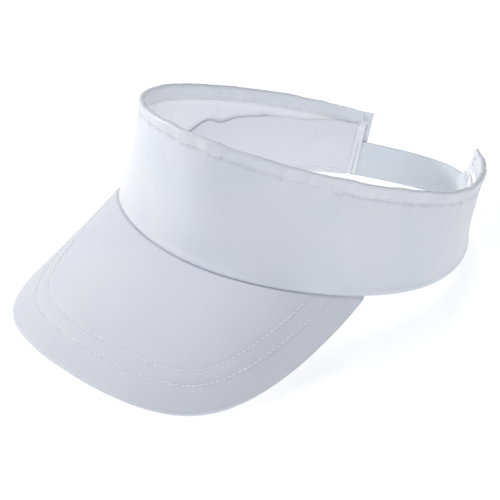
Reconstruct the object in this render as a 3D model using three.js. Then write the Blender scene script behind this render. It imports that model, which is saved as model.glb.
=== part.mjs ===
// Adjustable fabric sun visor: a stiffened headband open at the top, a long downturned
// brim sewn to the front of the band's lower edge, and a strap closure at the back.
// Millimetres, +Z up, front of the visor towards -Y, the wearer's left towards +X.
// It stands on the plane z = 0 on the two brim corners and the back of the strap.

import * as THREE from 'three';

const { degToRad, lerp, smoothstep } = THREE.MathUtils;

// ---- Driving dimensions ----

const GAP = 0.3; // clearance between neighbouring layers
const CLOTH = 0.6; // thickness of one fabric layer

// Each edge of the band is an oval in plan whose height rises and falls round the head:
// x = halfWidth sin(a), y = yMid - halfLength cos(a) - square cos(2a),
// z = zMid + slope cos(a) + wave cos(2a) + ripple cos(3a), with a = 0 at the front.
const BOTTOM = {
  halfWidth: 85.6, halfLength: 90.8, yMid: 16.9, square: -9.5,
  zMid: 26.6, slope: 18.3, wave: -1.4, ripple: -2.2, end: degToRad(152.8),
};
const TOP = {
  halfWidth: 80, halfLength: 88.4, yMid: 30.5, square: 5.5,
  zMid: 74.9, slope: 33.3, wave: 3.6, ripple: -0.35, end: degToRad(155.3),
};

// The wearer's left rear corner of the band stands a little away from the head.
const FLARE = { from: 0.76, full: 0.98, power: 3, shift: new THREE.Vector3(0.5, 8.6, 1.1) };

const HEM = { width: 7.7, stitch: 6.6 };
const END_HEM = 5.3;
const OUTER = { out: 0, in: CLOTH };
const INTERFACING = { out: 0.9, in: 1.7 };
const LINING = { out: 2.0, in: 2.6 };
const SWEATBAND = { height: 31, out: 2.9, thick: 1.2, lean: 1.2, end: 0.97, stitch: 3.5 };

// The brim hangs from the band's lower edge between +-root; reach(t) = drop vector at t.
const BRIM = {
  root: degToRad(75.4), cornerPower: 1.38, cornerAngle: degToRad(86.4),
  spread: [22.1, -8.3], forward: [68.8, 38.3, 11.4], down: [36.3, 48.9, -5.5],
  sag: 1.2, tuck: 0.3, seamDrop: 0.7, thick: 2.8, lip: 0.8,
};
const BOARD = { thick: 1 };
const BRIM_ROWS = [14.8, 22.3]; // from the free edge at the front
const ROW_DRIFT = 0.13; // share by which they run closer to it along the sides

const STRAP = {
  width: 21, thick: 1, bulge: 40.2, backHalf: 7.5, dip: 10, rootDepth: 2.4, foot: 0.2,
};
const PAD = { thick: 0.8, margin: 2 };
const LAP_OFFSET = 3.5; // between the centres of the strap and the tab it fastens to
const TAB = { length: 30, rootHeight: 30.5 };
const LOOP_END = 3.5; // from the band's left end to the strap's free end

const THREAD = { width: 0.7, high: 0.45 };

// ---- Colours ----

const WHITE_CLOTH = { color: 0xe6eaee, roughness: 0.85, metalness: 0 };
const SATIN_CLOTH = { color: 0xe2e7ee, roughness: 0.6, metalness: 0 };
const STIFF_SHEET = { color: 0xf0f0ec, roughness: 0.7, metalness: 0 };
const THREAD_WHITE = { color: 0xf4f5f5, roughness: 0.6, metalness: 0 };
const FASTENER = { color: 0xeceff0, roughness: 0.95, metalness: 0 };

// ---- Reference surfaces ----

function ovalPoint(edge, angle) {
  return new THREE.Vector3(
    edge.halfWidth * Math.sin(angle),
    edge.yMid - edge.halfLength * Math.cos(angle) - edge.square * Math.cos(2 * angle),
    edge.zMid + edge.slope * Math.cos(angle) + edge.wave * Math.cos(2 * angle)
      + edge.ripple * Math.cos(3 * angle),
  );
}

// Outer face of the band: s runs from -1 at the right rear end to 1 at the left one,
// v from 0 at the lower edge to 1 at the upper edge.
function bandSurface(s, v) {
  const flare = smoothstep(s, FLARE.from, FLARE.full) * Math.max(v, 0) ** FLARE.power;
  return ovalPoint(BOTTOM, s * BOTTOM.end)
    .lerp(ovalPoint(TOP, s * TOP.end), v)
    .addScaledVector(FLARE.shift, flare);
}

function bandHeight(s) {
  return bandSurface(s, 0).distanceTo(bandSurface(s, 1));
}

// Brim centre surface: phi runs from corner to corner, u from the seam to the free edge.
function brimSurface(phi, u) {
  const t = Math.sin(phi);
  const reach = Math.cos(phi) ** BRIM.cornerPower;
  const series = (terms) => terms.reduceRight((sum, term) => sum * t * t + term, 0);
  const drop = new THREE.Vector3(
    t * series(BRIM.spread),
    -series(BRIM.forward),
    -series(BRIM.down) - 4 * (1 - u) * BRIM.sag,
  );
  const root = surfaceOffset(bandSurface, (t * BRIM.root) / BOTTOM.end, 0, -BRIM.tuck);
  root.z -= BRIM.seamDrop;
  return root.addScaledVector(drop, reach * u);
}

// A point off a surface, along the normal given by d/da x d/db.
function surfaceOffset(surface, a, b, offset) {
  const step = 1e-3;
  const alongA = surface(a + step, b).sub(surface(a - step, b));
  const alongB = surface(a, b + step).sub(surface(a, b - step));
  return surface(a, b).addScaledVector(alongA.cross(alongB).normalize(), offset);
}

// depth is measured into the head from the band's outer face.
const bandPoint = (s, v, depth) => surfaceOffset(bandSurface, s, v, -depth);

// depth is measured down from the brim's centre surface.
const brimPoint = (phi, u, depth) => surfaceOffset(brimSurface, phi, u, depth);

// The s of a line some millimetres past (along > 0) or before a rear end of the band.
function endS(side, along) {
  const perUnit = bandSurface(side, 0.5).distanceTo(bandSurface(side * 0.99, 0.5)) / 0.01;
  return side * (1 + along / perUnit);
}

const endPoint = (side, along, height, depth) => (
  bandPoint(endS(side, along), height / bandHeight(side), depth)
);

// The strap's centre surface from the right rear end (u = 0) round to the left one
// (u = 1), h from 0 at its lower edge to 1 at its upper edge.
function strapSurface(u, h) {
  const height = STRAP.foot + h * STRAP.width;
  const start = endPoint(-1, 0, height, STRAP.rootDepth);
  const finish = endPoint(1, 0, height, STRAP.rootDepth - LAP_OFFSET);
  const back = endPoint(-1, 0, STRAP.foot, STRAP.rootDepth).y + STRAP.bulge;
  const point = new THREE.CubicBezierCurve3(
    start,
    new THREE.Vector3(-STRAP.backHalf, back, start.z),
    new THREE.Vector3(STRAP.backHalf, back, finish.z),
    finish,
  ).getPoint(u);
  point.z -= STRAP.dip * 4 * u * (1 - u);
  return point;
}

// offset is measured away from the head.
const strapPoint = (u, h, offset) => surfaceOffset(strapSurface, u, h, -offset);

// ---- Solids ----

// Triangles round the stations of a sweep, each a closed loop of matching points.
function walls(points, around, index) {
  const total = points.length;
  return (from, to) => {
    for (let i = 0; i < around; i += 1) {
      const [a, b] = [from + i, from + ((i + 1) % around)];
      const [c, d] = [(to + i) % total, (to + ((i + 1) % around)) % total];
      // the shorter diagonal keeps facing layers faceted alike
      if (points[b].distanceTo(points[c]) < points[a].distanceTo(points[d])) index.push(b, a, c, b, c, d);
      else index.push(b, a, d, a, c, d);
    }
  };
}

// A closed solid along a sweep. Each station is a loop round a thick line: out along one
// face and back along the other.
function sweep(stations) {
  const around = stations[0].length;
  const last = (stations.length - 1) * around;
  const points = stations.flat();
  const index = [];
  for (let i = 0; i < around / 2 - 1; i += 1) {
    const [a, b, c, d] = [i, i + 1, around - 1 - i, around - 2 - i];
    index.push(a, b, d, a, d, c);
    index.push(last + d, last + b, last + a, last + c, last + d, last + a);
  }
  const wall = walls(points, around, index);
  for (let from = 0; from < last; from += around) wall(from, from + around);
  return closedGeometry(points, index);
}

// The same, with the last station joined to the first.
function ring(stations) {
  const around = stations[0].length;
  const points = stations.flat();
  const index = [];
  const wall = walls(points, around, index);
  for (let from = 0; from < points.length; from += around) wall(from, from + around);
  return closedGeometry(points, index);
}

function closedGeometry(points, index) {
  let volume = 0;
  for (let i = 0; i < index.length; i += 3) {
    const [a, b, c] = [points[index[i]], points[index[i + 1]], points[index[i + 2]]];
    volume += a.dot(b.clone().cross(c));
  }
  const geometry = new THREE.BufferGeometry().setFromPoints(points);
  geometry.setIndex(volume > 0 ? index : index.toReversed());
  geometry.computeVertexNormals();
  return geometry;
}

const steps = (from, to, count) => Array.from({ length: count + 1 }, (_, i) => lerp(from, to, i / count));

// A sheet between two depths of a surface. across lists the rows from edge to edge, and
// place(station, row, face) gives the point, with face 0 outside and 1 inside.
function sheet(alongStations, across, place) {
  const loop = [
    ...across.map((row) => [row, 0]),
    ...across.toReversed().map((row) => [row, 1]),
  ];
  return sweep(alongStations.map((station) => loop.map(([row, face]) => place(station, row, face))));
}

// A rectangular frame of thread laid on a surface by place(x, y, z).
function boxStitch(left, low, right, high, place) {
  const cornersAt = (inset) => [
    [left + inset, low + inset], [right - inset, low + inset],
    [right - inset, high - inset], [left + inset, high - inset],
  ];
  const [outside, inside] = [cornersAt(0), cornersAt(THREAD.width)];
  const stations = [];
  outside.forEach(([x, y], i) => {
    const next = (i + 1) % 4;
    const [toX, toY] = outside[next];
    const pieces = Math.ceil(Math.hypot(toX - x, toY - y) / 4);
    for (let k = 0; k < pieces; k += 1) {
      const along = (corners) => [0, 1].map((axis) => lerp(corners[i][axis], corners[next][axis], k / pieces));
      const [outer, inner] = [along(outside), along(inside)];
      stations.push([
        place(...outer, 0), place(...inner, 0),
        place(...inner, THREAD.high), place(...outer, THREAD.high),
      ]);
    }
  });
  return ring(stations);
}

// ---- Band ----

const BAND_STEPS = 56;
const bodyStations = steps(endS(-1, -END_HEM - GAP), endS(1, -END_HEM - GAP), BAND_STEPS);
const hemLine = (s) => 1 - (HEM.width + GAP) / bandHeight(s);

// Every layer shares these rows, so that their faces stay parallel where the band flares.
const lowerRows = [() => 0, () => 0.35, () => 0.6, hemLine];
const upperRows = [(s) => 1 - HEM.width / 2 / bandHeight(s), (s) => 1 - (CLOTH + GAP) / bandHeight(s)];

function bandLayer(rows, layer) {
  return sheet(bodyStations, rows.map((_, i) => i), (s, row, face) => (
    bandPoint(s, rows[row](s), face ? layer.in : layer.out)
  ));
}

function topHem() {
  const { width } = HEM;
  const inner = LINING.in;
  const section = [
    [0, width], [0, width / 2], [0, 0], [inner, 0], [inner, width / 2], [inner, width],
    [inner - CLOTH, width], [inner - CLOTH, width / 2], [inner - CLOTH, CLOTH],
    [CLOTH, CLOTH], [CLOTH, width / 2], [CLOTH, width],
  ];
  return sweep(bodyStations.map((s) => section.map(
    ([depth, below]) => bandPoint(s, 1 - below / bandHeight(s), depth),
  )));
}

function endHem(side) {
  const inner = STRAP.rootDepth - STRAP.thick / 2 - GAP;
  const section = [
    [0, -END_HEM], [0, 0], [inner, 0], [inner, -END_HEM],
    [inner - CLOTH, -END_HEM], [inner - CLOTH, -CLOTH], [CLOTH, -CLOTH], [CLOTH, -END_HEM],
  ];
  return sweep([...lowerRows, upperRows[0], () => 1].map((row) => section.map(
    ([depth, along]) => bandPoint(endS(side, along), row(side), depth),
  )));
}

function sweatband() {
  const { end, height, out, thick, lean } = SWEATBAND;
  return sheet(steps(-end, end, BAND_STEPS), steps(0, 1, 3), (s, row, face) => {
    const tall = Math.min(height, bandHeight(s) - HEM.width - 1);
    return bandPoint(s, lerp(0.5, tall, row) / bandHeight(s), out + row * lean + face * thick);
  });
}

// A thread bead lying GAP off a face at the given depth, on the outer or the inner side.
function bandThread(stations, heightAt, faceDepth, inward) {
  const near = faceDepth + inward * GAP;
  const far = near + inward * THREAD.high;
  return sheet(stations, [-0.5, 0.5], (s, row, face) => {
    const height = heightAt(s) + row * THREAD.width;
    return bandPoint(s, height / bandHeight(s), face ? far : near);
  });
}

function endThread(side) {
  const rows = steps(1, bandHeight(side) - 1, 5);
  return sheet(rows, [-0.5, 0.5], (height, row, face) => {
    const along = 1.5 - END_HEM + row * THREAD.width;
    return endPoint(side, along, height, -GAP - face * THREAD.high);
  });
}

// ---- Brim ----

const BRIM_STEPS = 44;
const brimStations = steps(-BRIM.cornerAngle, BRIM.cornerAngle, BRIM_STEPS);
const brimRows = [0, 0.2, 0.4, 0.6, 0.8];

function brimWidth(phi) {
  return brimSurface(phi, 0).distanceTo(brimSurface(phi, 1));
}

// One brim cover with its edge turned over: out and lipEnd are the depths of its outer
// face and of the end of its turned edge.
function brimCover(out, lipEnd) {
  const inner = out + Math.sign(lipEnd - out) * CLOTH;
  return sweep(brimStations.map((phi) => {
    const lip = 1 - Math.min(BRIM.lip / brimWidth(phi), 0.12);
    return [
      ...brimRows.map((u) => brimPoint(phi, u, out)),
      brimPoint(phi, 1, out), brimPoint(phi, 1, lipEnd),
      brimPoint(phi, lip, lipEnd), brimPoint(phi, lip, inner),
      ...brimRows.toReversed().map((u) => brimPoint(phi, u, inner)),
    ];
  }));
}

function brimBoard() {
  const reach = BRIM.cornerAngle * 0.95;
  return sheet(steps(-reach, reach, BRIM_STEPS), [...brimRows, 1], (phi, row, face) => {
    const margin = 2.5 / brimWidth(phi);
    return brimPoint(phi, lerp(margin, 1 - margin, row), (face - 0.5) * BOARD.thick);
  });
}

const brimEdge = steps(-BRIM.cornerAngle, BRIM.cornerAngle, 90).map((phi) => brimSurface(phi, 1));

function distanceToEdge(point) {
  return Math.min(...brimEdge.map((edgePoint) => point.distanceTo(edgePoint)));
}

function bisect(low, high, isLow) {
  for (let i = 0; i < 24; i += 1) {
    const middle = (low + high) / 2;
    if (isLow(middle)) low = middle;
    else high = middle;
  }
  return (low + high) / 2;
}

// A thread row that follows the brim's free edge, from seam to seam.
function brimThread(inset) {
  const insetAt = (phi) => inset * (1 - ROW_DRIFT * smoothstep(Math.abs(phi), 0.25, 1.1));
  const inside = (phi) => distanceToEdge(brimSurface(phi, 0)) > insetAt(phi) + THREAD.width;
  const reach = bisect(0, BRIM.cornerAngle, inside);
  return sheet(steps(-reach, reach, 48), [-0.5, 0.5], (phi, row, face) => {
    const target = insetAt(phi) + row * THREAD.width;
    const u = bisect(0, 1, (value) => distanceToEdge(brimSurface(phi, value)) > target);
    return brimPoint(phi, u, -BRIM.thick / 2 - GAP - face * THREAD.high);
  });
}

// ---- Closure ----

const strapLength = new THREE.CatmullRomCurve3(
  steps(0, 1, 24).map((u) => strapSurface(u, 0.5)),
).getLength();
const strapU = (fromRightEnd) => fromRightEnd / strapLength;

const ROOT = { left: 0.3 - END_HEM, right: -0.3, face: STRAP.rootDepth - STRAP.thick / 2 };

// The sewn-in end of a strap, and its box stitch on the side facing the head.
function strapRoot(side, height) {
  const across = steps(ROOT.left, ROOT.right, 2);
  return sheet(steps(STRAP.foot, height, 8), across, (y, along, face) => (
    endPoint(side, along, y, ROOT.face + face * STRAP.thick)
  ));
}

function rootStitch(side, height) {
  const face = ROOT.face + STRAP.thick + GAP;
  return boxStitch(
    ROOT.left + 1, STRAP.foot + 1, ROOT.right - 1, height - 1,
    (x, y, z) => endPoint(side, x, y, face + z),
  );
}

// Part of the strap's length as a flat strip, at an offset from its centre surface.
function strapStrip(fromMm, toMm, lowH, highH, offset, thick, count) {
  return sheet(steps(strapU(fromMm), strapU(toMm), count), [0, 0.5, 1], (u, row, face) => (
    strapPoint(u, lerp(lowH, highH(u), row), offset + (0.5 - face) * thick)
  ));
}

const freeEnd = strapLength - LOOP_END;
const lapStart = strapLength - TAB.length;
const padFrom = lapStart + PAD.margin;
const padTo = freeEnd - PAD.margin;
const padLow = PAD.margin / STRAP.width;
const padHigh = () => 1 - padLow;

// The tab narrows from its root, at the band's left end, to the strap's width.
const tabHigh = (u) => lerp(
  1,
  (TAB.rootHeight - STRAP.foot) / STRAP.width,
  (u - strapU(lapStart)) / (1 - strapU(lapStart)),
);

const layerOffset = STRAP.thick / 2 + GAP + PAD.thick / 2;

function padStitch(offset) {
  const low = padLow * STRAP.width + 1;
  return boxStitch(padFrom + 1, low, padTo - 1, STRAP.width - low, (x, y, z) => (
    strapPoint(strapU(x), y / STRAP.width, offset + z)
  ));
}

// ---- Assembly ----

const group = new THREE.Group();

function add(name, geometry, look) {
  const mesh = new THREE.Mesh(geometry, new THREE.MeshStandardMaterial(look));
  mesh.name = name;
  group.add(mesh);
}

add('band_outer', bandLayer(lowerRows, OUTER), SATIN_CLOTH);
add('band_interfacing', bandLayer([...lowerRows, ...upperRows], INTERFACING), STIFF_SHEET);
add('band_lining', bandLayer(lowerRows, LINING), WHITE_CLOTH);
add('top_hem', topHem(), SATIN_CLOTH);
add('top_hem_stitch', bandThread(bodyStations, (s) => bandHeight(s) - HEM.stitch, 0, -1), THREAD_WHITE);
add('sweatband', sweatband(), WHITE_CLOTH);

const sweatStations = steps(-SWEATBAND.end + 0.01, SWEATBAND.end - 0.01, BAND_STEPS);
const sweatFace = SWEATBAND.out + SWEATBAND.thick + 0.2;
add('sweatband_stitch', bandThread(sweatStations, () => SWEATBAND.stitch, sweatFace, 1), THREAD_WHITE);

const seamReach = BRIM.root / BOTTOM.end;
add('brim_seam_stitch', bandThread(steps(-seamReach, seamReach, 36), () => 1.2, 0, -1), THREAD_WHITE);

for (const [name, side] of [['right', -1], ['left', 1]]) {
  add(`end_hem_${name}`, endHem(side), SATIN_CLOTH);
  add(`end_stitch_${name}`, endThread(side), THREAD_WHITE);
}

add('brim_top_cover', brimCover(-BRIM.thick / 2, -GAP / 2), WHITE_CLOTH);
add('brim_under_cover', brimCover(BRIM.thick / 2, GAP / 2), WHITE_CLOTH);
add('brim_board', brimBoard(), STIFF_SHEET);
add('brim_stitch_outer', brimThread(BRIM_ROWS[0]), THREAD_WHITE);
add('brim_stitch_inner', brimThread(BRIM_ROWS[1]), THREAD_WHITE);

add('loop_strap_root', strapRoot(-1, STRAP.foot + STRAP.width), WHITE_CLOTH);
add('loop_root_stitch', rootStitch(-1, STRAP.foot + STRAP.width), THREAD_WHITE);
add('loop_strap', strapStrip(0.5, freeEnd, 0, () => 1, 0, STRAP.thick, 32), WHITE_CLOTH);
add('loop_pad', strapStrip(padFrom, padTo, padLow, padHigh, -layerOffset, PAD.thick, 12), FASTENER);
add('loop_pad_stitch', padStitch(STRAP.thick / 2 + GAP), THREAD_WHITE);

add('hook_tab_root', strapRoot(1, TAB.rootHeight), WHITE_CLOTH);
add('hook_root_stitch', rootStitch(1, TAB.rootHeight), THREAD_WHITE);
add('hook_tab', strapStrip(
  lapStart, strapLength - 0.5, 0, tabHigh, -LAP_OFFSET, STRAP.thick, 14,
), WHITE_CLOTH);
add('hook_pad', strapStrip(
  padFrom, padTo, padLow, padHigh, layerOffset - LAP_OFFSET, PAD.thick, 12,
), FASTENER);
add('hook_pad_stitch', padStitch(-LAP_OFFSET - STRAP.thick / 2 - GAP - THREAD.high), THREAD_WHITE);

export default group;
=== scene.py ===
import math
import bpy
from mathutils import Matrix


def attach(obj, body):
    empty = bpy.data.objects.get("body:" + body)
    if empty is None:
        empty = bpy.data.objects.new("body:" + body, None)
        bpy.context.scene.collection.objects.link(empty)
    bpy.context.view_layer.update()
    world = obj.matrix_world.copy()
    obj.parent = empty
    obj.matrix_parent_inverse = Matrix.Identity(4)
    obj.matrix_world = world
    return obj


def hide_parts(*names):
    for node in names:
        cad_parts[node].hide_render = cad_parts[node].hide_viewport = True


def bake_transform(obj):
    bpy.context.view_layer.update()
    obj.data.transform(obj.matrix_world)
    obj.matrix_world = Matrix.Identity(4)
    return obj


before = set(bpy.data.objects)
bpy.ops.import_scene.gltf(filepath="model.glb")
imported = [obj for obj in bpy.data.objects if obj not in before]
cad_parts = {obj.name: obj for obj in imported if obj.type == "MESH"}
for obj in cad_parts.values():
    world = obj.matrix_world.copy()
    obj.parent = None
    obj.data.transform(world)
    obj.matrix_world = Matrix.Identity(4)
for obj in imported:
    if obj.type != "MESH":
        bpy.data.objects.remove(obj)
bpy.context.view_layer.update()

# White fabric sun visor: stiffened headband, long curved brim, hook-and-loop strap at the back.
# Shapes are worked out in millimetres and become metres in make_mesh().

from types import SimpleNamespace

import bmesh
import bpy
import numpy as np
from mathutils import Vector

MM = 0.001

# ---- Dimensions, as in the CAD model ----

BOTTOM = SimpleNamespace(
    half_width=85.6, half_length=90.8, y_mid=16.9, square=-9.5,
    z_mid=26.6, slope=18.3, wave=-1.4, ripple=-2.2, end=math.radians(152.8),
)
TOP = SimpleNamespace(
    half_width=80, half_length=88.4, y_mid=30.5, square=5.5,
    z_mid=74.9, slope=33.3, wave=3.6, ripple=-0.35, end=math.radians(155.3),
)
FLARE_SHIFT = np.array([0.5, 8.6, 1.1])
HEM_WIDTH = 7.7
HEM_STITCH = 6.6
HEM_DEPTH = 2.6
END_HEM = 5.3
END_DEPTH = 1.6
SWEATBAND = SimpleNamespace(out=2.9, end=0.97, stitch=3.5)

BRIM = SimpleNamespace(
    root=math.radians(75.4), corner_power=1.38, corner_angle=math.radians(86.4),
    spread=(22.1, -8.3), forward=(68.8, 38.3, 11.4), down=(36.3, 48.9, -5.5),
    sag=1.2, tuck=0.3, seam_drop=0.7, thick=2.8,
)
BRIM_ROWS = (14.8, 22.3)

STRAP = SimpleNamespace(
    width=21.0, thick=1.0, bulge=40.2, back_half=7.5, dip=10.0, root_depth=2.4, foot=0.2,
)
LAP_OFFSET = 3.5
TAB_LENGTH = 30.0
TAB_ROOT_HEIGHT = 30.5
LOOP_END = 3.5
PAD_THICK = 0.8
PAD_MARGIN = 2.0
STITCH = 3.0
PAD_STITCH = 2.4
BRIM_STITCH = 2.8

# Where the headband's cloth bows out: mm round from its right end, half width, height.
BOWS = ((256, 15, 1.5), (322, 14, 1.0))


# ---- Noise ----

def lattice(seed, *shape):
    return np.random.RandomState(seed).uniform(-1, 1, shape)


def smooth(t):
    return t * t * (3 - 2 * t)


def ramp(x, low, high):
    return smooth(np.clip((x - low) / (high - low), 0, 1))


def noise1(x, seed):
    values = lattice(seed, 97)
    x = np.asarray(x, float)
    i = np.floor(x).astype(int)
    t = smooth(x - i)
    return values[i % 97] * (1 - t) + values[(i + 1) % 97] * t


def noise2(x, y, seed):
    values = lattice(seed, 61, 61)
    x, y = np.broadcast_arrays(np.asarray(x, float), np.asarray(y, float))
    i, j = np.floor(x).astype(int), np.floor(y).astype(int)
    s, t = smooth(x - i), smooth(y - j)
    i0, i1, j0, j1 = i % 61, (i + 1) % 61, j % 61, (j + 1) % 61
    low = values[i0, j0] * (1 - s) + values[i1, j0] * s
    high = values[i0, j1] * (1 - s) + values[i1, j1] * s
    return low * (1 - t) + high * t


def bell(x, width):
    return np.exp(-((x / width) ** 2))


# ---- Reference surfaces ----

def oval(edge, a):
    return np.stack([
        edge.half_width * np.sin(a),
        edge.y_mid - edge.half_length * np.cos(a) - edge.square * np.cos(2 * a),
        edge.z_mid + edge.slope * np.cos(a) + edge.wave * np.cos(2 * a) + edge.ripple * np.cos(3 * a),
    ], -1)


def band(s, v):
    """Outer face of the band: s from -1 (right rear end) to 1 (left), v from 0 (lower edge) to 1."""
    s, v = np.broadcast_arrays(np.asarray(s, float), np.asarray(v, float))
    low, high = oval(BOTTOM, s * BOTTOM.end), oval(TOP, s * TOP.end)
    flare = ramp(s, 0.76, 0.98) * np.maximum(v, 0) ** 3
    return low + (high - low) * v[..., None] + FLARE_SHIFT * flare[..., None]


def surface_normal(surface, a, b):
    step = 1e-3
    along = surface(a + step, b) - surface(a - step, b)
    across = surface(a, b + step) - surface(a, b - step)
    normal = np.cross(along, across)
    return normal / np.linalg.norm(normal, axis=-1, keepdims=True)


def off(surface, a, b, offset):
    a, b, offset = np.broadcast_arrays(*(np.asarray(x, float) for x in (a, b, offset)))
    return surface(a, b) + surface_normal(surface, a, b) * offset[..., None]


def distance(p, q):
    return np.linalg.norm(p - q, axis=-1)


def band_height(s):
    return distance(band(s, 0.0), band(s, 1.0))


def band_at(s, height, depth):
    """A point height mm above the band's lower edge and depth mm in from its outer face."""
    return off(band, s, height / band_height(s), -np.asarray(depth, float))


def end_s(side, along):
    per_unit = distance(band(side, 0.5), band(side * 0.99, 0.5)) / 0.01
    return side * (1 + along / per_unit)


GIRTH_S = np.linspace(-1.05, 1.05, 2001)
GIRTH_STEPS = distance(*(band(GIRTH_S, 0.6)[k] for k in (slice(1, None), slice(None, -1))))
GIRTH_MM = np.concatenate([[0], np.cumsum(GIRTH_STEPS)])


def girth(s):
    """Millimetres along the band from its right rear end."""
    return np.interp(s, GIRTH_S, GIRTH_MM) - np.interp(-1, GIRTH_S, GIRTH_MM)


def girth_s(length):
    return np.interp(length + np.interp(-1, GIRTH_S, GIRTH_MM), GIRTH_MM, GIRTH_S)


BAND_LENGTH = float(girth(1.0))


def series(terms, t):
    return sum(term * t ** (2 * k) for k, term in enumerate(terms))


def brim(phi, u):
    """Middle surface of the brim: phi from corner to corner, u from the seam to the free edge."""
    phi, u = np.broadcast_arrays(np.asarray(phi, float), np.asarray(u, float))
    t = np.sin(phi)
    drop = np.stack([
        t * series(BRIM.spread, t),
        -series(BRIM.forward, t),
        -series(BRIM.down, t) - 4 * (1 - u) * BRIM.sag,
    ], -1)
    root = off(band, t * BRIM.root / BOTTOM.end, 0.0, -BRIM.tuck)
    root[..., 2] -= BRIM.seam_drop
    return root + drop * (np.cos(phi) ** BRIM.corner_power * u)[..., None]


def bezier(p0, p1, p2, p3, t):
    t = t[..., None]
    return (1 - t) ** 3 * p0 + 3 * (1 - t) ** 2 * t * p1 + 3 * (1 - t) * t * t * p2 + t ** 3 * p3


def strap(u, h):
    """Middle surface of the strap: u from the right rear end round the back, h across its width."""
    u, h = np.broadcast_arrays(np.asarray(u, float), np.asarray(h, float))
    height = STRAP.foot + h * STRAP.width
    start = band_at(-1.0, height, STRAP.root_depth)
    finish = band_at(1.0, height, STRAP.root_depth - LAP_OFFSET)
    back = float(band_at(-1.0, STRAP.foot, STRAP.root_depth)[1]) + STRAP.bulge
    near = np.stack([np.full(u.shape, -STRAP.back_half), np.full(u.shape, back), start[..., 2]], -1)
    far = np.stack([np.full(u.shape, STRAP.back_half), np.full(u.shape, back), finish[..., 2]], -1)
    point = bezier(start, near, far, finish, u)
    point[..., 2] -= STRAP.dip * 4 * u * (1 - u)
    return point


def strap_at(u, h, offset):
    return off(strap, u, h, -np.asarray(offset, float))


STRAP_LINE = strap(np.linspace(0, 1, 400), 0.5)
STRAP_LENGTH = float(distance(STRAP_LINE[1:], STRAP_LINE[:-1]).sum())


# ---- Mesh building ----

def make_mesh(name, points, faces, uv, material):
    mesh = bpy.data.meshes.new(name)
    mesh.from_pydata((points * MM).tolist(), [], faces)
    layer = mesh.uv_layers.new(name="cloth")
    corner = np.zeros(len(mesh.loops), np.int32)
    mesh.loops.foreach_get("vertex_index", corner)
    layer.data.foreach_set("uv", (uv[corner] * MM).astype(np.float32).ravel())
    mesh.polygons.foreach_set("use_smooth", [True] * len(mesh.polygons))
    mesh.materials.append(material)
    mesh.update()
    obj = bpy.data.objects.new(name, mesh)
    bpy.context.scene.collection.objects.link(obj)
    return obj


def lengths(points, axis):
    """Distance travelled along one axis of a grid of points."""
    step = np.linalg.norm(np.diff(points, axis=axis), axis=-1)
    travelled = np.cumsum(step, axis=axis)
    pad = [(0, 0), (0, 0)]
    pad[axis] = (1, 0)
    return np.pad(travelled, pad)


def grid_uv(points):
    across = lengths(points, 0)
    along = lengths(points, 1)
    middle = along[points.shape[0] // 2]
    return np.stack([np.broadcast_to(middle, across.shape), across], -1).reshape(-1, 2)


def grid_faces(rows, cols, closed=False, start=0):
    index = np.arange(rows * cols).reshape(rows, cols) + start
    if closed:
        index = np.vstack([index, index[:1]])
    quads = np.stack([index[:-1, :-1], index[:-1, 1:], index[1:, 1:], index[1:, :-1]], -1)
    return quads.reshape(-1, 4).tolist()


def grid_object(name, points, material, closed=False, capped=False):
    """A grid of points, rows by columns. closed joins the last row to the first."""
    rows, cols = points.shape[:2]
    faces = grid_faces(rows, cols, closed)
    if capped:
        faces.append([r * cols for r in range(rows)])
        faces.append([r * cols + cols - 1 for r in reversed(range(rows))])
    return make_mesh(name, points.reshape(-1, 3), faces, grid_uv(points), material)


def stitches(name, paths, material, pitch=STITCH, radius=0.24, rise=0.3, sink=0.3):
    """Rows of lockstitch. Each path is (points, normals); the thread dips into the cloth at each end."""
    sides, samples = 6, 7
    turn = np.arange(sides) * 2 * math.pi / sides
    tau = np.linspace(0, 1, samples)
    verts, uvs, faces, first = [], [], [], 0
    for points, normals in paths:
        travelled = np.concatenate([[0], np.cumsum(distance(points[1:], points[:-1]))])
        count = max(1, int(round(travelled[-1] / pitch)))
        step = travelled[-1] / count
        at = (np.arange(count)[:, None] + 0.07 + 0.86 * tau[None]) * step
        place, normal = (
            np.stack([np.interp(at, travelled, field[:, k]) for k in range(3)], -1)
            for field in (points, normals)
        )
        normal /= np.linalg.norm(normal, axis=-1, keepdims=True)
        tangent = np.gradient(place, axis=1)
        tangent /= np.linalg.norm(tangent, axis=-1, keepdims=True)
        side = np.cross(tangent, normal)
        arch = np.sin(math.pi * tau) ** 0.6
        slant = 0.12 * (tau - 0.5) + 0.05 * lattice(count, count)[:, None]
        lift = rise * arch - sink * (1 - arch)
        place = place + normal * lift[None, :, None] + side * slant[..., None]
        thick = radius * (0.75 + 0.25 * arch)
        ring = (
            side[:, :, None] * np.cos(turn)[None, None, :, None]
            + normal[:, :, None] * np.sin(turn)[None, None, :, None]
        ) * thick[None, :, None, None]
        tube = place[:, :, None] + ring
        verts.append(tube.reshape(-1, 3))
        uv = np.broadcast_to(at[:, :, None], tube.shape[:3])
        uvs.append(np.stack([uv, np.broadcast_to(turn * radius, tube.shape[:3])], -1).reshape(-1, 2))
        index = np.arange(count * samples * sides).reshape(count, samples, sides) + first
        across = np.roll(index, -1, axis=2)
        quads = np.stack([index[:, :-1], across[:, :-1], across[:, 1:], index[:, 1:]], -1)
        faces += quads.reshape(-1, 4).tolist()
        faces += index[:, 0, ::-1].tolist() + index[:, -1].tolist()
        first += index.size
    return make_mesh(name, np.concatenate(verts), faces, np.concatenate(uvs), material)


# ---- Materials ----

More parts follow.
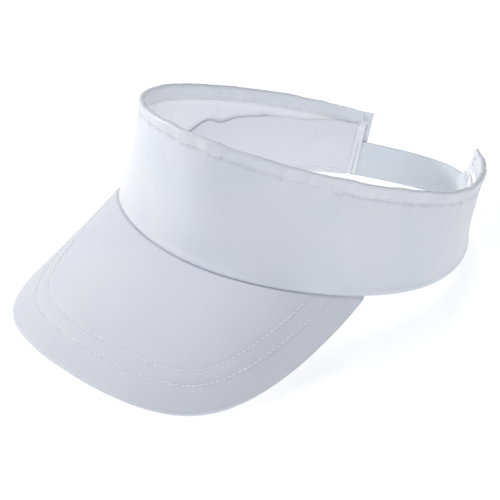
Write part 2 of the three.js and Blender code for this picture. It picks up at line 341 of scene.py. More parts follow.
def new_material(name, color, roughness, sheen=0.0, sheen_roughness=0.5, specular=0.4):
    material = bpy.data.materials.new(name)
    material.use_nodes = True
    shader = material.node_tree.nodes["Principled BSDF"]
    shader.inputs["Base Color"].default_value = (*color, 1)
    shader.inputs["Roughness"].default_value = roughness
    shader.inputs["Specular IOR Level"].default_value = specular
    shader.inputs["Sheen Weight"].default_value = sheen
    shader.inputs["Sheen Roughness"].default_value = sheen_roughness
    return material, shader


class Nodes:
    """Short ways to add and link shader nodes."""

    def __init__(self, material):
        self.tree = material.node_tree

    def add(self, kind, **sockets):
        node = self.tree.nodes.new(kind)
        for key, value in sockets.items():
            self.put(node, key, value)
        return node

    def put(self, node, key, value):
        numbered = key[0] == "i" and key[1:].isdigit()
        socket = node.inputs[int(key[1:]) if numbered else key.replace("_", " ")]
        if isinstance(value, bpy.types.NodeSocket):
            self.tree.links.new(value, socket)
        else:
            socket.default_value = value

    def math(self, operation, *values):
        node = self.tree.nodes.new("ShaderNodeMath")
        node.operation = operation
        for i, value in enumerate(values):
            self.put(node, f"i{i}", value)
        return node.outputs[0]

    def noise(self, vector, scale, detail=2.0, roughness=0.5):
        node = self.add(
            "ShaderNodeTexNoise", Vector=vector, Scale=scale, Detail=detail, Roughness=roughness,
        )
        return node.outputs["Fac"]

    def mix(self, factor, a, b):
        node = self.tree.nodes.new("ShaderNodeMix")
        node.data_type = "RGBA"
        self.put(node, "i0", factor)
        for key, value in (("i6", a), ("i7", b)):
            self.put(node, key, value if isinstance(value, bpy.types.NodeSocket) else (*value, 1))
        return node.outputs[2]

    def spread(self, value, low, high, to_low, to_high):
        node = self.add("ShaderNodeMapRange", Value=value, From_Min=low, From_Max=high)
        self.put(node, "To Min", to_low)
        self.put(node, "To Max", to_high)
        return node.outputs[0]


def cloth(name, color, roughness, pitch=0.42, weave=0.25, twill=False, sheen=0.15, slub=0.2,
          crease=0.0, tint=(0.93, 0.95, 1.0), specular=0.35, tone_and_sheen_patches=0.35):
    """Woven white cloth: crossed yarns of the given pitch in mm, slubs, painted shade in the gaps
    between yarns, and faint colour drift that is random tone and, where raised on the band and brim,
    painted satin sheen patches.
    """
    material, shader = new_material(name, color, roughness, sheen, 0.45, specular)
    n = Nodes(material)
    place = n.add("ShaderNodeTexCoord")
    split = n.add("ShaderNodeSeparateXYZ", Vector=place.outputs["UV"])
    per_metre = math.pi / (pitch * MM)
    x = n.math("MULTIPLY", split.outputs[0], per_metre)
    y = n.math("MULTIPLY", split.outputs[1], per_metre)
    if twill:
        ribs = n.math("SINE", n.math("ADD", n.math("MULTIPLY", x, 1.0), n.math("MULTIPLY", y, 1.35)))
        fine = n.math("SINE", n.math("MULTIPLY", y, 2.0))
        yarns = n.math("ADD", ribs, n.math("MULTIPLY", fine, 0.35))
    else:
        over = n.math("MULTIPLY", n.math("SINE", x), n.math("SINE", y))
        warp = n.math("MULTIPLY", n.math("SINE", n.math("MULTIPLY", x, 2.0)), 0.3)
        yarns = n.math("ADD", over, warp)
    stretched = n.add("ShaderNodeMapping", Vector=place.outputs["UV"])
    stretched.inputs["Scale"].default_value = (60, 1400, 1)
    slubs = n.noise(stretched.outputs[0], 1.0, 2.0)
    cross = n.add("ShaderNodeMapping", Vector=place.outputs["UV"])
    cross.inputs["Scale"].default_value = (1400, 60, 1)
    slubs = n.math("ADD", slubs, n.noise(cross.outputs[0], 1.0, 2.0))
    soft = n.noise(place.outputs["Object"], 70.0, 3.0)
    height = n.math("ADD", n.math("MULTIPLY", yarns, 0.5), n.math("MULTIPLY", slubs, slub * 4))
    bump = n.add("ShaderNodeBump", Height=height, Strength=weave)
    bump.inputs["Distance"].default_value = 0.00012
    if crease:
        rumple = n.add("ShaderNodeBump", Height=soft, Strength=crease, Normal=bump.outputs[0])
        rumple.inputs["Distance"].default_value = 0.0012
        bump = rumple
    n.put(shader, "Normal", bump.outputs[0])
    # Noise colour drift towards the tint: random tone, and where it is raised (band and brim) painted
    # satin sheen patches.
    tone_and_sheen_drift = n.spread(n.noise(place.outputs["Object"], 22.0, 4.0), 0.35, 0.68, 0.0, 1.0)
    grain = n.spread(slubs, 0.7, 1.35, 0.0, 1.0)
    base = n.mix(n.math("MULTIPLY", tone_and_sheen_drift, tone_and_sheen_patches), color, tuple(c * t for c, t in zip(color, tint)))
    # Painted shade: the colour darkens where the yarns dip between each other. The slub grain adds real
    # tone on top.
    painted_gap_shade = n.spread(yarns, -1.0, 0.2, 0.10, 0.0)
    base = n.mix(n.math("ADD", painted_gap_shade, n.math("MULTIPLY", grain, 0.08)), base,
                 tuple(c * 0.80 for c in color))
    n.put(shader, "Base Color", base)
    n.put(shader, "Roughness", n.spread(grain, 0.0, 1.0, roughness - 0.04, roughness + 0.05))
    return material


def thread_material():
    material, shader = new_material("thread_white", (0.86, 0.87, 0.88), 0.5, 0.1, 0.4, 0.4)
    n = Nodes(material)
    place = n.add("ShaderNodeTexCoord")
    split = n.add("ShaderNodeSeparateXYZ", Vector=place.outputs["UV"])
    twist = n.math("SINE", n.math("ADD", n.math("MULTIPLY", split.outputs[0], 9000.0),
                                  n.math("MULTIPLY", split.outputs[1], 5000.0)))
    bump = n.add("ShaderNodeBump", Height=twist, Strength=0.5)
    bump.inputs["Distance"].default_value = 0.00006
    n.put(shader, "Normal", bump.outputs[0])
    shade = n.spread(twist, -1.0, 0.0, 0.35, 0.0)
    n.put(shader, "Base Color", n.mix(shade, (0.96, 0.965, 0.97), (0.80, 0.82, 0.85)))
    return material


def fastener_material(name, color, scale):
    material, shader = new_material(name, color, 0.8, 0.3, 0.6, 0.3)
    n = Nodes(material)
    place = n.add("ShaderNodeTexCoord")
    fuzz = n.noise(place.outputs["Object"], scale, 4.0, 0.7)
    bump = n.add("ShaderNodeBump", Height=fuzz, Strength=0.8)
    bump.inputs["Distance"].default_value = 0.0003
    n.put(shader, "Normal", bump.outputs[0])
    # The colour is darker where the fuzz bump is low: painted shade in the hollows of the fuzz.
    n.put(shader, "Base Color", n.mix(n.spread(fuzz, 0.35, 0.6, 0.0, 1.0),
                                      tuple(c * 0.82 for c in color), color))
    return material


# Band and brim: the colour drift is raised and tinted so that it paints satin sheen and light patches
# into the colour, on top of random tone.
BAND_CLOTH = cloth("band_satin", (0.785, 0.80, 0.85), 0.36, pitch=0.30, weave=0.22, sheen=0.12,
                   slub=0.10, specular=0.6, tint=(0.87, 0.91, 0.97), tone_and_sheen_patches=0.7)
BRIM_CLOTH = cloth("brim_cloth", (0.735, 0.75, 0.81), 0.74, pitch=0.42, weave=0.55, twill=True,
                   sheen=0.2, slub=0.25, tint=(0.93, 0.95, 1.0), tone_and_sheen_patches=0.7)
# The lining's colour is set lighter than the band's as painted light: it stands in for light that shines
# through the band.
LINING_CLOTH = cloth("lining_cloth", (0.92, 0.925, 0.955), 0.7, pitch=0.45, weave=0.4, crease=0.35,
                     sheen=0.15)
SWEAT_CLOTH = cloth("sweatband_cloth", (0.80, 0.81, 0.85), 0.85, pitch=0.6, weave=0.6, crease=0.25,
                    sheen=0.3)
STRAP_CLOTH = cloth("strap_cloth", (0.725, 0.77, 0.82), 0.72, pitch=0.45, weave=0.5, sheen=0.2)
THREAD = thread_material()
BOARD = cloth("brim_board", (0.86, 0.865, 0.86), 0.45, pitch=0.9, weave=0.2, sheen=0.0, slub=0.05)
LOOP_FUZZ = fastener_material("fastener_loop", (0.80, 0.82, 0.84), 2500.0)
HOOK_TAPE = fastener_material("fastener_hook", (0.78, 0.81, 0.83), 900.0)


# ---- Band ----

def ridges(x, width, seed):
    """Rounded folds of about one width, irregularly spaced."""
    rough = noise1(x / width, seed)
    return np.sign(rough) * np.abs(rough) ** 1.3


def puckers(x, below, seed):
    """Short ridges across the hem, drawn in by its stitch row."""
    lean = x + 0.35 * below * noise1(x / 23, seed + 1)
    ridge = ridges(lean, 3.4, seed) + 0.45 * ridges(lean, 1.7, seed + 2)
    strength = 0.6 + 0.4 * noise1(x / 16, seed + 3)
    near_stitch = np.where(below < HEM_STITCH, 0.55 + 0.45 * below / HEM_STITCH,
                           np.exp(-((below - HEM_STITCH) / 3.2)))
    return 0.95 * ridge * strength * near_stitch


def outer_relief(s, height):
    """How far the finished outer face stands out from the plain one."""
    x, below = girth(s), band_height(s) - height
    groove = -0.55 * bell(below - HEM_STITCH, 0.9) * (0.85 - 0.15 * np.cos(2 * math.pi * x / STITCH))
    flare = 0.75 * ramp(-below, -HEM_STITCH - 0.5, 0.5)
    broad = 1.1 * noise2(x / 47, height / 60, 11) * ramp(height, 4, 22) * ramp(below, 4, 18)
    bowed = sum(high * bell(x - middle, width) for middle, width, high in BOWS)
    bowed = bowed * ramp(height, 4, 20) * ramp(below, 5, 16)
    small = 0.12 * noise2(x / 13, height / 17, 12) * ramp(height, 3, 12)
    seam = 0.45 * bell(height - 1.8, 1.8)
    return groove + flare + puckers(x, below, 21) + broad + bowed + small + seam


def hem_depth(s):
    """Depth of the hem's inner face: thinner where the end hem lies over it."""
    to_end = np.minimum(girth(s), BAND_LENGTH - girth(s))
    return 1.1 + (HEM_DEPTH - 1.1) * ramp(to_end, END_HEM - 0.4, END_HEM + 1.2)


def outer_face(s, height):
    return band_at(s, height, -outer_relief(s, height))


def inner_relief(s, below):
    x = girth(s)
    groove = 0.25 * bell(below - HEM_STITCH, 0.8)
    return groove + 0.95 * puckers(x + 4, below, 31)


def hem_face(s, below):
    """The hem's face inside the band, below mm under the top edge."""
    return band_at(s, band_height(s) - below, hem_depth(s) - inner_relief(s, below))


def band_shell():
    """Outer cloth: turned in along the lower edge, and over the top into the inside hem."""
    s = girth_s(np.linspace(0.5, BAND_LENGTH - 0.5, 440))
    tall = band_height(s)
    wave = 0.30 * noise1(girth(s) / 7.0, 41) + 0.18 * noise1(girth(s) / 2.7, 42)
    fold = 0.8
    rows = [band_at(s, h, 2 * fold + 0.0 * s) for h in (7.0, 4.0, 2.0)]
    for theta in np.linspace(math.pi, 0, 8):
        height, depth = fold - fold * np.sin(theta), fold - fold * np.cos(theta)
        rows.append(band_at(s, height, depth - outer_relief(s, fold) * (1 - depth / (2 * fold))))
    rows += [outer_face(s, h + 0 * s) for h in np.linspace(1.2, 6.0, 11)]
    middle = np.linspace(0, 1, 34)[1:-1]
    rows += [outer_face(s, 6.0 + f * (tall - 20.0)) for f in middle]
    for below in np.linspace(14.0, 1.3, 27):
        rows.append(outer_face(s, tall - below + wave * ramp(-below, -6, -1)))
    depth = hem_depth(s)
    radius = depth / 2
    for theta in np.linspace(0, math.pi, 10)[1:-1]:
        out = outer_relief(s, tall - radius) * (1 + math.cos(theta)) / 2
        inn = inner_relief(s, radius) * (1 - math.cos(theta)) / 2
        height = tall - radius + radius * math.sin(theta) + wave
        rows.append(band_at(s, height, radius * (1 - math.cos(theta)) - out - inn))
    for below in np.linspace(1.3, HEM_WIDTH - 0.35, 14):
        lifted = below - wave * ramp(-below, -6, -1)
        rows.append(hem_face(s, lifted))
    for theta in np.linspace(0, math.pi, 5)[1:]:
        turned = band_at(
            s, tall - HEM_WIDTH + 0.35 - 0.35 * math.sin(theta),
            depth - inner_relief(s, HEM_WIDTH) - 0.35 * (1 - math.cos(theta)),
        )
        rows.append(turned)
    rows.append(band_at(s, tall - HEM_WIDTH + 2.5, depth - 0.8))
    shell = grid_object("band_cloth", np.array(rows), BAND_CLOTH)
    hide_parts("band_outer", "top_hem", "band_interfacing")
    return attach(shell, "band")


def hem_stitches():
    s = girth_s(np.linspace(1.5, BAND_LENGTH - 1.5, 900))
    tall = band_height(s)
    outward = surface_normal(band, s, 0.9 + 0 * s)
    outside = outer_face(s, tall - HEM_STITCH)
    s_in = girth_s(np.linspace(END_HEM + 0.5, BAND_LENGTH - END_HEM - 0.5, 900))
    inside = hem_face(s_in, HEM_STITCH + 0 * s_in)
    inward = -surface_normal(band, s_in, 0.9 + 0 * s_in)
    row = stitches("hem_stitches", [(outside, outward), (inside, inward)], THREAD)
    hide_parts("top_hem_stitch")
    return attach(row, "band")


def end_hem(side, name):
    """The band's end turned in over the hem: a fold at the end and a flat leg inside."""
    fold = 0.78
    section = [(-0.9, 0.22)]
    for a in np.linspace(0.25, math.pi, 10):
        section.append((-fold + fold * math.sin(a), fold - fold * math.cos(a)))
    for along in np.linspace(1.5, END_HEM - 0.4, 12):
        section.append((-along, END_DEPTH + 0.12 * math.sin(along)))
    section += [
        (-END_HEM, END_DEPTH - 0.15),
        (-END_HEM + 0.1, END_DEPTH - 0.45),
        (-END_HEM + 1.4, END_DEPTH - 0.6),
    ]
    tall = float(band_height(end_s(side, -4.0)))
    top = [tall - 0.4, tall + 0.1, tall + 0.15]
    heights = np.concatenate([[0.05, 0.05, 0.25], np.linspace(0.7, tall - 0.9, 60), top])
    tuck = np.concatenate([[1.0, 0.4, 0.1], np.zeros(60), [0.08, 0.4, 1.0]])
    grid = []
    for along, depth in section:
        s = np.full(heights.shape, end_s(side, along))
        x = heights + 31 * side
        pucker = 0.16 * noise2(x / 3.5, along / 6.0, 51) + 0.10 * noise1(x / 9.0, 52)
        grid.append(band_at(s, heights, (depth + pucker * (depth > 1)) * (1 - tuck) + 0.5 * tuck))
    piece = grid_object(f"end_hem_cloth_{name}", np.array(grid), BAND_CLOTH)
    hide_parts(f"end_hem_{name}")
    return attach(piece, "band")


def end_stitches(side, name):
    tall = float(band_height(float(side)))
    heights = np.linspace(1.5, tall - 1.5, 200)
    s = np.full(heights.shape, end_s(side, 1.5 - END_HEM))
    outward = surface_normal(band, s, heights / tall)
    outside = outer_face(s, heights)
    inside = band_at(s, heights, END_DEPTH + 0.1)
    row = stitches(f"end_stitches_{name}", [(outside, outward), (inside, -outward)], THREAD)
    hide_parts(f"end_stitch_{name}")
    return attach(row, "band")


def lining():
    """Thin cloth that covers the inside, tucked under the hem, with soft slack folds."""
    s = girth_s(np.linspace(END_HEM - 2.9, BAND_LENGTH - END_HEM + 2.9, 380))
    tall = band_height(s)
    x = girth(s)
    to_end = np.minimum(x, BAND_LENGTH - x) - END_HEM + 2.9
    rows = []
    for f in np.linspace(0, 1, 60):
        height = 1.2 + f * (tall - HEM_WIDTH + 3.0 - 1.2)
        below = tall - height
        slack = 0.75 * noise2((x + 0.6 * height) / 14, height / 26, 61)
        slack = 0.35 + (slack + 0.35 * noise2(x / 6, height / 15, 62))
        slack = slack * ramp(below, HEM_WIDTH, HEM_WIDTH + 6) * ramp(height, 2, 10) * ramp(to_end, 0, 14)
        under_hem = 1.0 * ramp(-below, -HEM_WIDTH - 0.3, -HEM_WIDTH + 0.7)
        roll = 0.55 * bell(below - HEM_WIDTH - 1.3, 1.3)
        lip = bell(to_end, 1.6)
        over_strap = 1.0 * lip * ramp(-height, -STRAP.width - 5, -STRAP.width + 1)
        ragged = 0.35 * lip * noise1(height / 2.6, 63)
        depth = 2.45 + slack + roll - under_hem + over_strap + ragged + 0.25 * lip
        rows.append(band_at(s, height, depth))
    piece = grid_object("lining_cloth", np.array(rows), LINING_CLOTH)
    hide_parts("band_lining")
    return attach(piece, "band")


def sweatband_height(s):
    """Its upper edge is loose and wavy: lower across the forehead, higher along the sides."""
    x = girth(s)
    side = np.minimum(x, BAND_LENGTH - x)
    wavy = 0.5 * noise1(x / 12, 71) + 0.35 * noise1(x / 5, 72)
    dip = 2.4 * bell(side - 87, 5.5)
    forehead = 6.0 * ramp(side, 97, 107)
    return 31.3 + 1.6 * bell(side - 66, 18) - dip - forehead + wavy


def sweatband_at(s, f, face):
    """f from the seam to the upper edge; face 0 lies against the lining, 1 faces the head."""
    x = girth(s)
    to_end = np.minimum(x, BAND_LENGTH - x) - END_HEM
    full = 0.35 + 0.65 * ramp(to_end, 0, 26)
    height = 0.6 + f * (sweatband_height(s) - 0.6)
    loose = f ** 1.6 * ramp(to_end, 40, 100)
    wave = (0.4 + 0.8 * noise1(x / 21, 73) + 0.3 * noise1(x / 8, 74)) * loose
    crumple = 0.45 * noise2((x + 0.5 * height) / 9, height / 11, 75) * f * (1 - f) * 4
    stitched = -0.35 * bell(height - SWEATBAND.stitch, 1.0)
    thick = (0.95 + 0.25 * f * (1 - f) * 4) * full
    middle = SWEATBAND.out + 0.5 + 0.15 * f * full + np.maximum(0.7 * wave, -0.15) - 0.5 * (1 - full)
    return band_at(s, height, middle + (face - 0.5) * thick + (crumple + stitched) * face * full)


def sweatband():
    s = np.linspace(-SWEATBAND.end, SWEATBAND.end, 330)
    up = np.linspace(0, 1, 30)
    rows = [sweatband_at(s, f + 0 * s, 0.0) for f in up[:-1]]
    for a in np.linspace(0, math.pi, 7):
        f = 1 + 0.02 * math.sin(a)
        rows.append(sweatband_at(s, f + 0 * s, 0.5 - 0.5 * math.cos(a)))
    rows += [sweatband_at(s, f + 0 * s, 1.0) for f in up[-2::-1]]
    piece = grid_object("sweatband_cloth", np.array(rows), SWEAT_CLOTH, closed=True, capped=True)
    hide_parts("sweatband")
    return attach(piece, "band")


def sweatband_stitches():
    s = np.linspace(-SWEATBAND.end + 0.01, SWEATBAND.end - 0.01, 800)
    f = (SWEATBAND.stitch - 0.6) / (sweatband_height(s) - 0.6)
    path = (sweatband_at(s, f, 1.0), -surface_normal(band, s, 0 * s))
    row = stitches("sweatband_stitches", [path], THREAD)
    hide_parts("sweatband_stitch", "brim_seam_stitch")
    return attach(row, "band")


# ---- Brim ----

BRIM_EDGE = brim(np.linspace(-BRIM.corner_angle, BRIM.corner_angle, 500), 1.0)


def to_edge(points):
    """Distance of each point from the brim's free edge."""
    flat = points.reshape(-1, 3)
    parts = [
        np.sqrt(((part[:, None] - BRIM_EDGE[None]) ** 2).sum(-1).min(1))
        for part in np.array_split(flat, max(1, len(flat) // 2000))
    ]
    return np.concatenate(parts).reshape(points.shape[:-1])


def row_inset(inset, phi):
    """The rows run a little closer to the free edge along the sides than at the front."""
    return inset * (1 - 0.13 * ramp(np.abs(phi), 0.25, 1.1))


def brim_width(phi):
    return distance(brim(phi, 0.0), brim(phi, 1.0))


def brim_relief(phi, u):
    """How far a finished cover stands out from the plain one."""
    plain = brim(phi, np.clip(u, 0, 1))
    inset = to_edge(plain)
    from_seam = u * brim_width(phi)
    rows = sum(bell(inset - row_inset(row, phi), 0.75) for row in BRIM_ROWS)
    x = 62 * phi
    ripple = 0.06 * noise1(x / 3.1, 81) * (bell(inset - BRIM_ROWS[0], 4) + bell(inset - BRIM_ROWS[1], 4))
    quilt = 0.10 * bell(inset - sum(BRIM_ROWS) / 2, 2.6)
    allowance = 0.12 * ramp(-inset, -8.5, -6.5)
    broad = 0.25 * noise2(plain[..., 0] / 31, plain[..., 1] / 31, 82) * ramp(inset, 0, 20)
    dip = -1.1 * (1 - ramp(from_seam, -0.1, 1.3))
    return -0.4 * rows + ripple + quilt + allowance + broad + dip


def brim_face(phi, u, face):
    """A point on the upper (face 1) or lower (face -1) cover."""
    return off(brim, phi, u, -face * (BRIM.thick / 2 + brim_relief(phi, u)))


def brim_cover(face, name, node):
    phi = np.linspace(-BRIM.corner_angle, BRIM.corner_angle, 320)
    width = brim_width(phi)
    radius = np.minimum(1.25, 0.3 * width)
    rows = []
    for back in (-1.8, -0.9):
        rows.append(brim_face(phi, back / np.maximum(width, 3), face))
    last = 1 - radius / width
    fine = np.concatenate([np.linspace(0, 0.05, 8)[:-1], np.linspace(0.05, 1, 118)])
    rows += [brim_face(phi, f * last, face) for f in fine]
    for a in np.linspace(0, math.pi / 2, 7)[1:]:
        across = 1 - radius * (1 - math.sin(a)) / width
        height = 0.12 + (BRIM.thick / 2 - 0.12) * math.cos(a)
        rows.append(off(brim, phi, across, -face * height))
    rows.append(off(brim, phi, 1 - 0.5 * radius / width, -face * 0.05))
    piece = grid_object(name, np.array(rows), BRIM_CLOTH)
    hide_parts(node)
    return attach(piece, "band")


def bisect(low, high, is_low):
    for _ in range(26):
        middle = (low + high) / 2
        keep = is_low(middle)
        low, high = np.where(keep, middle, low), np.where(keep, high, middle)
    return (low + high) / 2


def brim_row(inset, face):
    """Points and normals of a stitch row at a constant distance from the free edge."""
    reach = float(bisect(
        0.0, BRIM.corner_angle,
        lambda phi: to_edge(brim(phi, 0.0)) > row_inset(inset, phi) + 1.0,
    ))
    phi = np.linspace(-reach, reach, 500)
    u = bisect(
        np.zeros(500), np.ones(500),
        lambda value: to_edge(brim(phi, value)) > row_inset(inset, phi),
    )
    return brim_face(phi, u, face), -face * surface_normal(brim, phi, u)


def brim_stitches(inset, name, node):
    paths = [brim_row(inset, 1), brim_row(inset, -1)]
    row = stitches(name, paths, THREAD, pitch=BRIM_STITCH, radius=0.3, rise=0.34)
    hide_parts(node)
    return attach(row, "band")


# ---- Closure ----

def slab_loop(width_points=16, edge_points=5):
    """Cross-section of a flat strap: (position across 0..1, side -1..1), rounded at both edges."""
    across = np.linspace(0, 1, width_points)
    turn = np.linspace(0, math.pi, edge_points + 2)[1:-1]
    loop = [(h, 1.0, 0.0) for h in across]
    loop += [(1.0, math.cos(a), math.sin(a)) for a in turn]
    loop += [(h, -1.0, 0.0) for h in across[::-1]]
    loop += [(0.0, -math.cos(a), -math.sin(a)) for a in turn]
    return np.array(loop)


def corner_inset(to_end, radius):
    """How much a rounded corner narrows a strap at this distance from its free end."""
    q = np.clip(radius - to_end, 0, radius)
    return radius - np.sqrt(np.maximum(radius * radius - q * q, 0))


def slab(name, place, stations, low, high, thick, material, edge=0.45, dent=None):
    """A flat strap. place(x, mm above the lower edge, offset) gives a point, for arrays alike."""
    across, side, out = (part[:, None] for part in slab_loop().T)
    y = low + edge + across * (high - low - 2 * edge) + out * edge
    press = dent(stations, y, low, high) * (np.abs(side) == 1) if dent else 0.0
    points = place(stations + 0 * y, y, side * (thick - press))
    return grid_object(name, points, material, closed=True, capped=True)


def sewn_to_free(x, sewn, free):
    """The strap lies on the band before its end, and swings into its own line just past it."""
    share = ramp(x, -2.5, 5.0)[..., None]
    return sewn * (1 - share) + free * share


def loop_place(x, y, offset):
    """x mm past the right rear end, negative over the sewn root."""
    x, y, offset = np.broadcast_arrays(*(np.asarray(part, float) for part in (x, y, offset)))
    sewn = band_at(end_s(-1, np.minimum(x, 5.0)), STRAP.foot + y, STRAP.root_depth - offset)
    return sewn_to_free(x, sewn, strap_at(x / STRAP_LENGTH, y / STRAP.width, offset))


def tab_place(x, y, offset):
    """x mm past the left rear end, negative over the sewn root."""
    x, y, offset = np.broadcast_arrays(*(np.asarray(part, float) for part in (x, y, offset)))
    sewn = band_at(end_s(1, np.minimum(x, 5.0)), STRAP.foot + y, STRAP.root_depth - offset)
    return sewn_to_free(x, sewn, strap_at(1 - x / STRAP_LENGTH, y / STRAP.width, offset - LAP_OFFSET))


def strap_dent(x, y, bottom, top):
    rows = bell(y - bottom - 2.0, 0.6) + bell(top - 2.0 - y, 0.6)
    return 0.16 * rows - 0.10 * noise2(x / 9.0, y / 9.0, 91)


def tab_top(x):
    extra = TAB_ROOT_HEIGHT - STRAP.foot - STRAP.width
    return STRAP.width + extra * (1 - np.maximum(x, 0) / TAB_LENGTH)


def strap_stations(free, count):
    """Distances along a strap: its sewn end, its free run, and finer steps at the tip."""
    return np.concatenate([
        np.linspace(-4.8, -0.6, 6),
        np.linspace(0.2, free - 3, count),
        free - np.linspace(2.5, 0, 9),
    ])


def loop_strap():
    free = STRAP_LENGTH - LOOP_END
    x = strap_stations(free, 78)
    inset = corner_inset(free - x, 3.0)
    thick = 0.55 * np.ones(x.shape) * (0.55 + 0.45 * ramp(free - x, -0.2, 0.8))
    piece = slab(
        "loop_strap_cloth", loop_place, x, inset, STRAP.width - inset, thick, STRAP_CLOTH,
        dent=strap_dent,
    )
    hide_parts("loop_strap", "loop_strap_root")
    start, end = loop_place(-1.5, STRAP.width / 2, 0), loop_place(7.0, STRAP.width / 2, 0)
    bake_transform(piece)
    return piece


def hook_tab():
    x = strap_stations(TAB_LENGTH, 26)
    inset = corner_inset(TAB_LENGTH - x, 3.0)
    top = tab_top(x) - inset
    thick = 0.55 * (0.55 + 0.45 * ramp(TAB_LENGTH - x, -0.2, 0.8))
    piece = slab("hook_tab_cloth", tab_place, x, inset, top, thick, STRAP_CLOTH, dent=strap_dent)
    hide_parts("hook_tab", "hook_tab_root")
    start, end = tab_place(-1.5, 10, 0), tab_place(6.0, 10, 0)
    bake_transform(piece)
    return piece


PAD_LAYER = STRAP.thick / 2 + 0.3 + PAD_THICK / 2
PAD_FROM = STRAP_LENGTH - TAB_LENGTH + PAD_MARGIN
PAD_TO = STRAP_LENGTH - LOOP_END - PAD_MARGIN


def pad(name, place, low_x, high_x, offset, material, body, node, slot):
    x = np.linspace(low_x, high_x, 26)
    inset = corner_inset(np.minimum(x - low_x, high_x - x), 1.5)
    half = 0.5 * PAD_THICK * (0.5 + 0.5 * ramp(np.minimum(x - low_x, high_x - x), -0.1, 0.7))
    low, high = PAD_MARGIN + inset, STRAP.width - PAD_MARGIN - inset
    piece = slab(name, lambda s, y, o: place(s, y, offset + o), x, low, high, half, material, edge=0.3)
    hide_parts(node)
    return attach(piece, body)


def thread_path(place, x, y, offset, outward):
    point = place(x, y, offset)
    return point, place(x, y, offset + outward) - point


def box_path(place, left, low, right, high, offset, outward):
    """A rectangle of thread on a strap, and the normals it stands out along."""
    t = np.linspace(0, 1, 24)[:-1]
    wide, tall = right - left, high - low
    x = np.concatenate([left + wide * t, right + 0 * t, right - wide * t, left + 0 * t])
    y = np.concatenate([low + 0 * t, low + tall * t, high + 0 * t, high - tall * t])
    return thread_path(place, x, y, offset, outward)


def mirrored(x, y, offset):
    """The tab's place, with x counted from the right rear end as on the strap."""
    return tab_place(STRAP_LENGTH - x, y, offset + LAP_OFFSET)


def closure_stitches():
    face = STRAP.thick / 2 + 0.02
    made = []
    for name, place, top, node in (
        ("loop_root_stitches", loop_place, STRAP.width, "loop_root_stitch"),
        ("hook_root_stitches", tab_place, TAB_ROOT_HEIGHT, "hook_root_stitch"),
    ):
        path = box_path(place, -4.0, 1.4, -1.4, top - 1.4, -face, -1)
        row = stitches(name, [path], THREAD, pitch=PAD_STITCH, radius=0.16, rise=0.12)
        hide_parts(node)
        made.append(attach(row, "band"))
    for name, place, offset, out, body, node in (
        ("loop_pad_stitches", loop_place, face, 1, "loop_strap", "loop_pad_stitch"),
        ("hook_pad_stitches", mirrored, -LAP_OFFSET - face, -1, "hook_tab", "hook_pad_stitch"),
    ):
        low, high = PAD_MARGIN + 1, STRAP.width - PAD_MARGIN - 1
        path = box_path(place, PAD_FROM + 1, low, PAD_TO - 1, high, offset, out)
        row = stitches(name, [path], THREAD, pitch=PAD_STITCH, radius=0.16, rise=0.12)
        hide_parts(node)
        made.append(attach(row, body))
    return made


def strap_edge_stitches():
    """Fine rows 2 mm in from both edges of the strap, on both faces."""
    x = np.linspace(8.0, STRAP_LENGTH - TAB_LENGTH - 1, 160)
    paths = [
        thread_path(loop_place, x, y + 0 * x, side * 0.42, side)
        for side in (1, -1) for y in (2.0, STRAP.width - 2.0)
    ]
    row = stitches("loop_strap_edge_stitches", paths, THREAD, pitch=PAD_STITCH, radius=0.12, rise=0.04)
    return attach(row, "loop_strap")


# ---- Stage ----

def floor():
    mesh = bpy.data.meshes.new("floor")
    size = 6.0
    corners = [(-size, -size, 0), (size, -size, 0), (size, size, 0), (-size, size, 0)]
    mesh.from_pydata(corners, [], [(0, 1, 2, 3)])
    material, shader = new_material("floor_white", (0.66, 0.665, 0.67), 0.9, 0.0, 0.5, 0.2)
    shader.inputs["Emission Color"].default_value = (1, 1, 1, 1)
    shader.inputs["Emission Strength"].default_value = 0.60
    mesh.materials.append(material)
    plane = bpy.data.objects.new("floor", mesh)
    bpy.context.scene.collection.objects.link(plane)


def backdrop():
    """A pale dome far behind the floor, seen by the camera and left out of the lighting."""
    mesh = bpy.data.meshes.new("backdrop")
    form = bmesh.new()
    bmesh.ops.create_uvsphere(form, u_segments=48, v_segments=24, radius=5.5)
    form.to_mesh(mesh)
    form.free()
    material, shader = new_material("backdrop_pale", (0, 0, 0), 1.0, specular=0.0)
    shader.inputs["Emission Color"].default_value = (1, 1, 1, 1)
    shader.inputs["Emission Strength"].default_value = 0.85
    mesh.materials.append(material)
    dome = bpy.data.objects.new("backdrop", mesh)
    bpy.context.scene.collection.objects.link(dome)
    dome.visible_diffuse = dome.visible_glossy = dome.visible_transmission = dome.visible_shadow = False


def area_light(name, azimuth, elevation, far, size, power, color):
    data = bpy.data.lights.new(name, "AREA")
    data.shape, data.size, data.energy, data.color = "DISK", size, power, color
    lamp = bpy.data.objects.new(name, data)
    a, e = math.radians(azimuth), math.radians(elevation)
    back = Vector((math.sin(a) * math.cos(e), -math.cos(a) * math.cos(e), math.sin(e)))
    lamp.location = Vector((0, 0, 0.05)) + back * far
    lamp.rotation_euler = back.to_track_quat("Z", "Y").to_euler()
    bpy.context.scene.collection.objects.link(lamp)


def lights():
    world = bpy.data.worlds.new("studio")
    bpy.context.scene.world = world
    world.use_nodes = True
    world.node_tree.nodes["Background"].inputs[0].default_value = (0.94, 0.96, 1.0, 1)
    world.node_tree.nodes["Background"].inputs[1].default_value = 0.18
    area_light("key", -62, 24, 1.6, 0.4, 16, (1.0, 0.99, 0.965))
    area_light("fill", 74, 26, 1.8, 0.6, 7.5, (0.93, 0.95, 1.0))
    area_light("top", 60, 86, 1.6, 1.2, 8.5, (1.0, 1.0, 1.0))
    bpy.context.scene.view_settings.view_transform = "Standard"


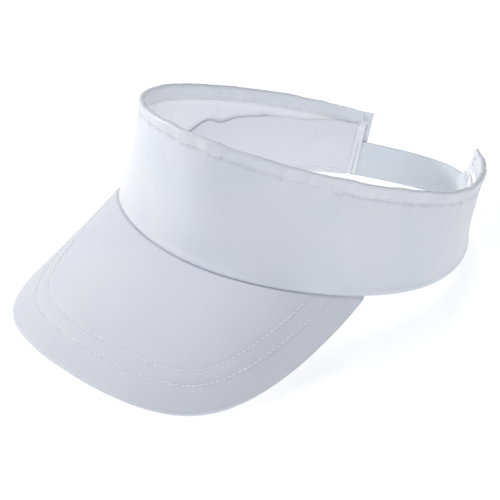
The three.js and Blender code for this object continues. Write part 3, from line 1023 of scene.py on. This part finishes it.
def camera():
    """The photograph's viewing angle."""
    data = bpy.data.cameras.new("camera")
    data.lens = 171.12
    data.sensor_width = 36
    eye = bpy.data.objects.new("camera", data)
    a, e = math.radians(47.887), math.radians(29.923)
    back = Vector((math.sin(a) * math.cos(e), -math.cos(a) * math.cos(e), math.sin(e)))
    eye.location = Vector((-0.021685, 0.006768, 0.006728)) + back * 1.22739
    eye.rotation_euler = back.to_track_quat("Z", "Y").to_euler()
    bpy.context.scene.collection.objects.link(eye)
    bpy.context.scene.camera = eye


# ---- Sweatband edge heights and brim points, worked out but put to no further use ----


def declare_cloth():
    high = sweatband_height(np.linspace(-SWEATBAND.end, SWEATBAND.end, 200))
    forward = brim(0.0, 1.0) - brim(0.0, 0.0)
    forward /= np.linalg.norm(forward)
    phi, u = np.meshgrid(np.linspace(-BRIM.corner_angle, BRIM.corner_angle, 121), np.linspace(0, 1, 41))
    grid = brim(phi, u)


# ---- Build ----

camera()
lights()
floor()
backdrop()

shell = band_shell()
hem_row = hem_stitches()
ends = [end_hem(-1, "right"), end_hem(1, "left")]
end_rows = [end_stitches(-1, "right"), end_stitches(1, "left")]
lining_piece = lining()
sweat_piece = sweatband()
sweat_row = sweatband_stitches()

top_cover = brim_cover(1, "brim_upper_cloth", "brim_top_cover")
under_cover = brim_cover(-1, "brim_under_cloth", "brim_under_cover")
brim_rows = [
    brim_stitches(BRIM_ROWS[0], "brim_stitches_outer", "brim_stitch_outer"),
    brim_stitches(BRIM_ROWS[1], "brim_stitches_inner", "brim_stitch_inner"),
]

strap_piece = loop_strap()
tab_piece = hook_tab()
loop_pad = pad(
    "loop_pad_fuzz", loop_place, PAD_FROM, PAD_TO, -PAD_LAYER, LOOP_FUZZ,
    "loop_strap", "loop_pad", "fastener_loop",
)
hook_pad = pad(
    "hook_pad_tape", mirrored, PAD_FROM, PAD_TO, PAD_LAYER - LAP_OFFSET, HOOK_TAPE,
    "hook_tab", "hook_pad", "fastener_hook",
)
closure_stitches()
edge_rows = strap_edge_stitches()

bpy.data.objects["brim_board"].material_slots[0].material = BOARD

declare_cloth()
